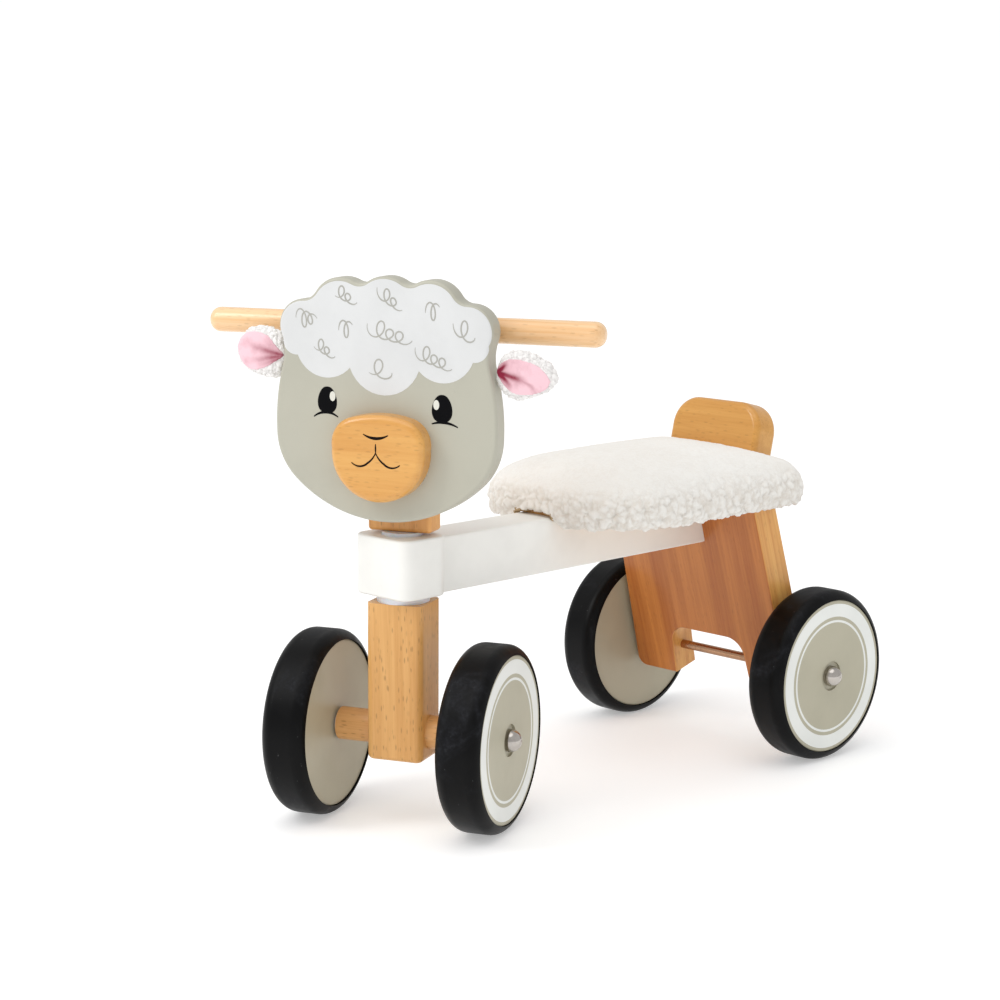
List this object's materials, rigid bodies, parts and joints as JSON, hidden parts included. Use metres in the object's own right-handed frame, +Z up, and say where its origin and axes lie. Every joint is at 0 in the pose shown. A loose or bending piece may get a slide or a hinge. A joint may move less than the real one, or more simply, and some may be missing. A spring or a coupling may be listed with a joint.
{
  "type": "balance bike",
  "caption": "Wooden ride-on balance bike: a steered front axle under an animal-head board with a dowel handlebar, a fleece seat with a low backrest and rubber-tyred wheels.",
  "frame": {"origin": "on the floor under the centre of the bounding box", "axes": "+X forwards, +Y to the rider's left, +Z up; the front assembly stands turned 24.5 degrees to the left at rest"},
  "size_m": [0.5664, 0.3036, 0.4373],
  "materials": {
    "beech": "satin lacquer",
    "white_paint": "satin paint",
    "greige_paint": "satin paint with printed white rings and face",
    "tyre_rubber": "matt",
    "steel": "bright zinc",
    "chrome_cap": "polished nickel",
    "nylon": "natural white",
    "fleece": "curly cream fleece",
    "ear_plush": "white plush with pink lining"
  },
  "bodies": {
    "frame": {"steering_block": "white_paint", "steering_bushes": "nylon", "main_beam": "white_paint", "beam_dowels": "beech", "rear_panel": "beech", "panel_screws": "steel", "seat_board": "beech", "seat_screws": "steel", "backrest_screws": "steel", "backrest": "beech", "seat_cushion": "fleece", "rear_axle": "steel", "rear_axle_caps": "chrome_cap", "rear_axle_washers": "nylon"},
    "steering": {"steering_post": "beech", "front_axle_dowel": "beech", "steering_spindle": "steel", "spindle_barrel_nuts": "steel", "lower_bearing_washer": "nylon", "upper_bearing_washer": "nylon", "neck_board": "beech", "head_spacer": "beech", "handlebar_block": "beech", "handlebar": "beech", "neck_screws": "steel", "head_screws": "steel", "handlebar_screw": "steel", "head_board": "greige_paint", "snout": "beech", "snout_screws": "steel", "ear_left": "ear_plush", "ear_right": "ear_plush", "front_axle": "steel", "front_axle_caps": "chrome_cap", "front_axle_washers": "nylon"},
    "front_left_wheel": {"front_left_tyre": "tyre_rubber", "front_left_disc": "greige_paint", "front_left_hub": "nylon"},
    "front_right_wheel": {"front_right_tyre": "tyre_rubber", "front_right_disc": "greige_paint", "front_right_hub": "nylon"},
    "rear_left_wheel": {"rear_left_tyre": "tyre_rubber", "rear_left_disc": "greige_paint", "rear_left_hub": "nylon"},
    "rear_right_wheel": {"rear_right_tyre": "tyre_rubber", "rear_right_disc": "greige_paint", "rear_right_hub": "nylon"}
  },
  "joints": [
    {"name": "steering", "type": "hinge", "parent": "frame", "child": "steering", "pos_m": [0.1802, 0, 0.2], "axis": [0, 0, 1], "range_deg": [-64.5, 15.5]},
    {"name": "front_left_wheel_spin", "type": "hinge", "parent": "steering", "child": "front_left_wheel", "pos_m": [0.14989, 0.06652, 0.075], "axis": [-0.4147, 0.91, 0], "continuous": true},
    {"name": "front_right_wheel_spin", "type": "hinge", "parent": "steering", "child": "front_right_wheel", "pos_m": [0.21051, -0.06652, 0.075], "axis": [-0.4147, 0.91, 0], "continuous": true},
    {"name": "rear_left_wheel_spin", "type": "hinge", "parent": "frame", "child": "rear_left_wheel", "pos_m": [-0.2082, 0.1101, 0.075], "axis": [0, 1, 0], "continuous": true},
    {"name": "rear_right_wheel_spin", "type": "hinge", "parent": "frame", "child": "rear_right_wheel", "pos_m": [-0.2082, -0.1101, 0.075], "axis": [0, 1, 0], "continuous": true}
  ]
}
